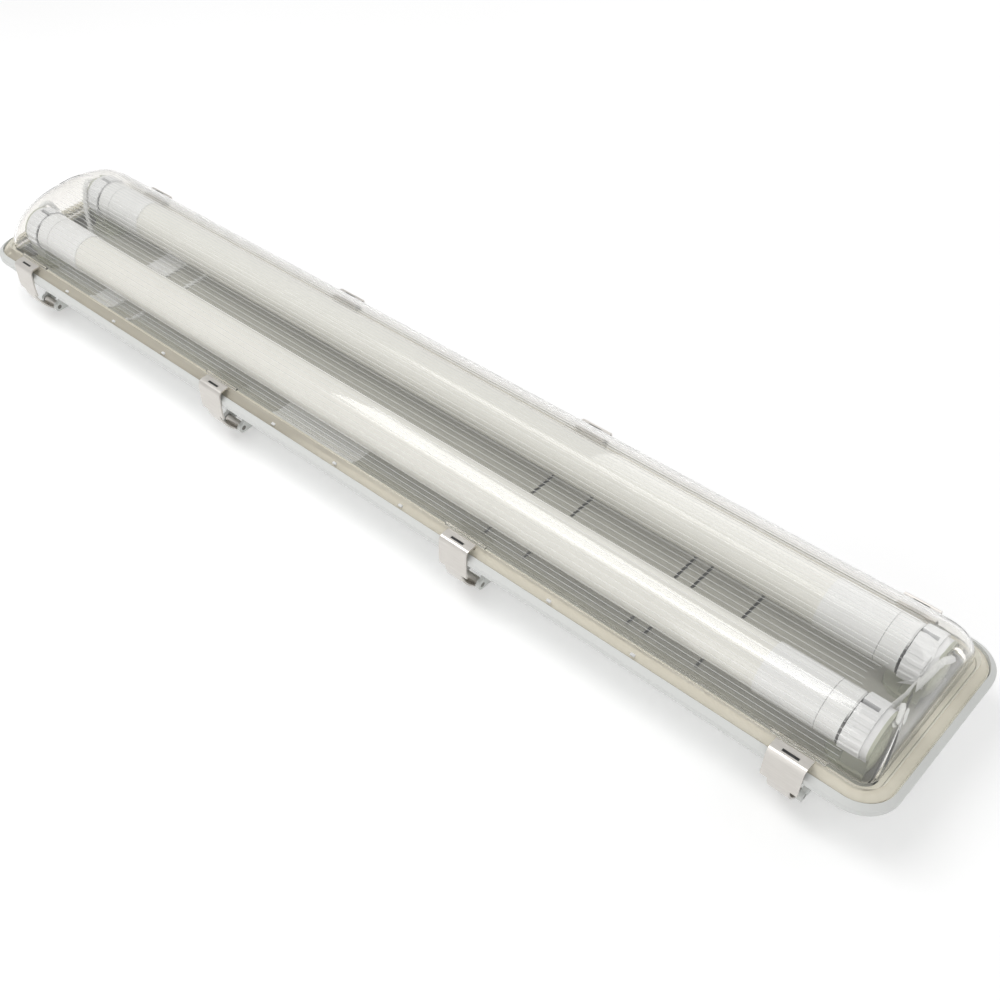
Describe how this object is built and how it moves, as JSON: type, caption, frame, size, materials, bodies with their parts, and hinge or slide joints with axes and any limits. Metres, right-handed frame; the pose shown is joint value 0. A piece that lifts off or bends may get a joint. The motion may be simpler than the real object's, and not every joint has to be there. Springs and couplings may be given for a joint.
{
  "type": "vapor tight light fixture",
  "caption": "Long sealed ceiling light: a tub-shaped housing with a clear arched cover held by hinged clips over two tube lamps in rotary lampholders on a gear tray.",
  "frame": {"origin": "on the mounting plane (the flat back), under the centre of the fixture", "axes": "+X along the fixture's length towards the right end of the picture, +Y across it towards the back of the picture, +Z out of the mounting plane through the clear cover"},
  "size_m": [0.657, 0.1224, 0.076],
  "materials": {
    "housing": "satin",
    "gasket": "matte",
    "clear_cover": "gloss",
    "clip_steel": "brushed",
    "tray": "satin",
    "white_plastic": "matte",
    "label": "matte",
    "tube": "gloss",
    "tube_cap": "gloss",
    "contact_brass": "satin",
    "board": "satin",
    "light_source": "matte",
    "driver": "matte",
    "wire_sleeve": "matte",
    "black_rubber": "matte"
  },
  "bodies": {
    "housing": {"base_housing": "housing", "gasket": "gasket", "clip_pins": "clip_steel", "gear_tray": "tray", "tray_screws": "clip_steel", "tray_strap": "white_plastic", "wire_tie": "white_plastic", "rating_label": "label", "holder_front_left": "white_plastic", "holder_front_right": "white_plastic", "holder_back_left": "white_plastic", "holder_back_right": "white_plastic", "terminal_block": "white_plastic", "terminal_screws": "contact_brass", "wire_front_left": "wire_sleeve", "wire_front_right": "wire_sleeve", "wire_back_left": "wire_sleeve", "wire_back_right": "wire_sleeve", "entry_grommet": "black_rubber", "blanking_plug": "housing", "mount_seals": "black_rubber"},
    "cover": {"diffuser": "clear_cover"},
    "clip_f1": {"clip_front_1": "clip_steel"},
    "clip_f2": {"clip_front_2": "clip_steel"},
    "clip_f3": {"clip_front_3": "clip_steel"},
    "clip_f4": {"clip_front_4": "clip_steel"},
    "clip_b1": {"clip_back_1": "clip_steel"},
    "clip_b2": {"clip_back_2": "clip_steel"},
    "clip_b3": {"clip_back_3": "clip_steel"},
    "clip_b4": {"clip_back_4": "clip_steel"},
    "lamp_front": {"tube_front": "tube", "cap_front_left": "tube_cap", "cap_front_right": "tube_cap", "lamp_pins_front": "contact_brass", "led_board_front": "board", "leds_front": "light_source", "driver_front": "driver", "rotor_front_left": "white_plastic", "rotor_front_right": "white_plastic"},
    "lamp_back": {"tube_back": "tube", "cap_back_left": "tube_cap", "cap_back_right": "tube_cap", "lamp_pins_back": "contact_brass", "led_board_back": "board", "leds_back": "light_source", "driver_back": "driver", "rotor_back_left": "white_plastic", "rotor_back_right": "white_plastic"}
  },
  "joints": [
    {"name": "cover_lift", "type": "slide", "parent": "housing", "child": "cover", "axis": [0, 0, 1], "range_m": [0, 0.03]},
    {"name": "clip_front_1_turn", "type": "hinge", "parent": "housing", "child": "clip_f1", "pos_m": [-0.28425, -0.046, 0.0095], "axis": [1, 0, 0], "range_deg": [0, 72.1]},
    {"name": "clip_front_2_turn", "type": "hinge", "parent": "housing", "child": "clip_f2", "pos_m": [-0.09475, -0.046, 0.0095], "axis": [1, 0, 0], "range_deg": [0, 72.1]},
    {"name": "clip_front_3_turn", "type": "hinge", "parent": "housing", "child": "clip_f3", "pos_m": [0.09475, -0.046, 0.0095], "axis": [1, 0, 0], "range_deg": [0, 72.1]},
    {"name": "clip_front_4_turn", "type": "hinge", "parent": "housing", "child": "clip_f4", "pos_m": [0.28425, -0.046, 0.0095], "axis": [1, 0, 0], "range_deg": [0, 72.1]},
    {"name": "clip_back_1_turn", "type": "hinge", "parent": "housing", "child": "clip_b1", "pos_m": [-0.28425, 0.046, 0.0095], "axis": [-1, 0, 0], "range_deg": [0, 72.1]},
    {"name": "clip_back_2_turn", "type": "hinge", "parent": "housing", "child": "clip_b2", "pos_m": [-0.09475, 0.046, 0.0095], "axis": [-1, 0, 0], "range_deg": [0, 72.1]},
    {"name": "clip_back_3_turn", "type": "hinge", "parent": "housing", "child": "clip_b3", "pos_m": [0.09475, 0.046, 0.0095], "axis": [-1, 0, 0], "range_deg": [0, 72.1]},
    {"name": "clip_back_4_turn", "type": "hinge", "parent": "housing", "child": "clip_b4", "pos_m": [0.28425, 0.046, 0.0095], "axis": [-1, 0, 0], "range_deg": [0, 72.1]},
    {"name": "tube_front_turn", "type": "hinge", "parent": "housing", "child": "lamp_front", "pos_m": [0, -0.02565, 0.0506], "axis": [1, 0, 0], "range_deg": [0, 90]},
    {"name": "tube_back_turn", "type": "hinge", "parent": "housing", "child": "lamp_back", "pos_m": [0, 0.02565, 0.0506], "axis": [1, 0, 0], "range_deg": [0, 90]}
  ],
  "couplings": [
    {"joint": "clip_front_1_turn", "follows": "cover_lift", "rad_per_m": 41.89},
    {"joint": "clip_front_2_turn", "follows": "cover_lift", "rad_per_m": 41.89},
    {"joint": "clip_front_3_turn", "follows": "cover_lift", "rad_per_m": 41.89},
    {"joint": "clip_front_4_turn", "follows": "cover_lift", "rad_per_m": 41.89},
    {"joint": "clip_back_1_turn", "follows": "cover_lift", "rad_per_m": 41.89},
    {"joint": "clip_back_2_turn", "follows": "cover_lift", "rad_per_m": 41.89},
    {"joint": "clip_back_3_turn", "follows": "cover_lift", "rad_per_m": 41.89},
    {"joint": "clip_back_4_turn", "follows": "cover_lift", "rad_per_m": 41.89}
  ]
}
